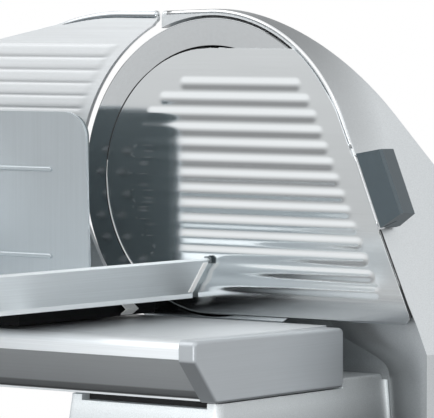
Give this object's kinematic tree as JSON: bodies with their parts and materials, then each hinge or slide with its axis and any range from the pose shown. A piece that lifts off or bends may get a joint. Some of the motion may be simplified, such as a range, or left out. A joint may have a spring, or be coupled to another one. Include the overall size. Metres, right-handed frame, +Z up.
{
  "type": "food slicer",
  "caption": "Upright-blade food slicer with a sliding food tray and spiked pusher on a guide beam, a ribbed thickness plate set by a knob, and a polished turn-off blade cover.",
  "frame": {"origin": "middle of the bounding box in plan, on the ground under the rubber feet", "axes": "+X along the carriage travel away from the operator, +Y from the food side to the back, +Z up"},
  "size_m": [0.5684, 0.407, 0.392],
  "materials": {
    "silver_paint": "fine metallic silver coat",
    "satin_aluminium": "satin anodised, brushed along its length",
    "cap_grey": "fine moulded grain",
    "cast_aluminium": "blasted casting",
    "polished_cover": "polished stainless steel",
    "polished_blade": "ground and polished, faint turning marks",
    "steel": "ground",
    "screw_steel": "zinc plated",
    "bearing_steel": "ground",
    "grip_plastic": "fine moulded grain",
    "black_plastic": "fine moulded grain",
    "grey_plastic": "fine moulded grain",
    "white_mark": "printed mark",
    "white_plastic": "self-lubricating plastic",
    "pulley_alloy": "turned",
    "motor_alloy": "die cast",
    "brass_pins": "plated",
    "rubber_black": "matt"
  },
  "bodies": {
    "frame": {"base": "silver_paint", "feet": "rubber_black", "foot_screws": "screw_steel", "pedestal": "silver_paint", "pedestal_seal": "rubber_black", "beam": "satin_aluminium", "beam_cap_far": "cap_grey", "beam_cap_near": "cap_grey", "beam_bolts": "screw_steel", "control_box": "silver_paint", "gauge_rods": "steel", "dial_ring": "grey_plastic", "switch_frame": "black_plastic", "housing": "silver_paint", "rear_cover": "grey_plastic", "rear_cover_screws": "screw_steel", "inlet": "black_plastic", "inlet_pins": "brass_pins", "deflector": "steel", "deflector_screws": "screw_steel", "motor_bracket": "steel", "motor": "motor_alloy", "motor_screws": "screw_steel", "drive_belt": "rubber_black", "bearings": "bearing_steel", "cover_studs": "steel"},
    "gauge": {"gauge_plate": "satin_aluminium", "gauge_bracket": "cast_aluminium", "gauge_follower": "steel", "gauge_screws": "screw_steel"},
    "setting_knob": {"knob": "black_plastic", "knob_mark": "white_mark", "cam": "white_plastic"},
    "rocker": {"switch_rocker": "black_plastic"},
    "blade_rotor": {"blade": "polished_blade", "blade_hub": "steel", "blade_screws": "screw_steel", "blade_shaft": "steel", "blade_pulley": "pulley_alloy"},
    "motor_rotor": {"motor_shaft": "steel", "motor_pulley": "pulley_alloy"},
    "blade_cover": {"cover_plate": "polished_cover", "cover_grip": "grip_plastic", "grip_screws": "screw_steel", "cover_hooks": "steel"},
    "carriage": {"tray": "satin_aluminium", "lip_cap": "black_plastic", "fence": "satin_aluminium", "slider": "black_plastic", "slide_pads": "white_plastic", "rod_holders": "cast_aluminium", "pusher_rod": "steel", "carriage_handle": "black_plastic", "tray_screws": "screw_steel"},
    "pusher": {"pusher_plate": "satin_aluminium", "pusher_pad": "black_plastic", "pusher_spikes": "steel", "pusher_arm": "cast_aluminium", "pusher_knob": "black_plastic", "pusher_screws": "screw_steel"}
  },
  "joints": [
    {"name": "carriage_slide", "type": "slide", "parent": "frame", "child": "carriage", "axis": [1, 0, 0], "range_m": [-0.055, 0.18]},
    {"name": "pusher_slide", "type": "slide", "parent": "carriage", "child": "pusher", "axis": [0, 1, 0], "range_m": [-0.133, 0.0245]},
    {"name": "gauge_slide", "type": "slide", "parent": "frame", "child": "gauge", "axis": [0, 1, 0], "range_m": [0, 0.014]},
    {"name": "knob_turn", "type": "hinge", "parent": "frame", "child": "setting_knob", "pos_m": [-0.26375, 0.1045, 0.07], "axis": [1, 0, 0], "range_deg": [-1, 301]},
    {"name": "rocker_tilt", "type": "hinge", "parent": "frame", "child": "rocker", "pos_m": [-0.25675, -0.0115, 0.072], "axis": [0, 1, 0], "range_deg": [0, 10]},
    {"name": "blade_spin", "type": "hinge", "parent": "frame", "child": "blade_rotor", "pos_m": [0.07925, 0.0585, 0.26], "axis": [0, 1, 0], "continuous": true},
    {"name": "motor_spin", "type": "hinge", "parent": "frame", "child": "motor_rotor", "pos_m": [0.18425, 0.1185, 0.15], "axis": [0, 1, 0], "continuous": true},
    {"name": "cover_turn", "type": "hinge", "parent": "frame", "child": "blade_cover", "pos_m": [0.07925, 0.0585, 0.26], "axis": [0, -1, 0], "range_deg": [0, 6.5]}
  ],
  "couplings": [
    {"joint": "knob_turn", "follows": "gauge_slide", "rad_per_m": 374},
    {"joint": "motor_spin", "follows": "blade_spin", "ratio": 2.9091}
  ]
}
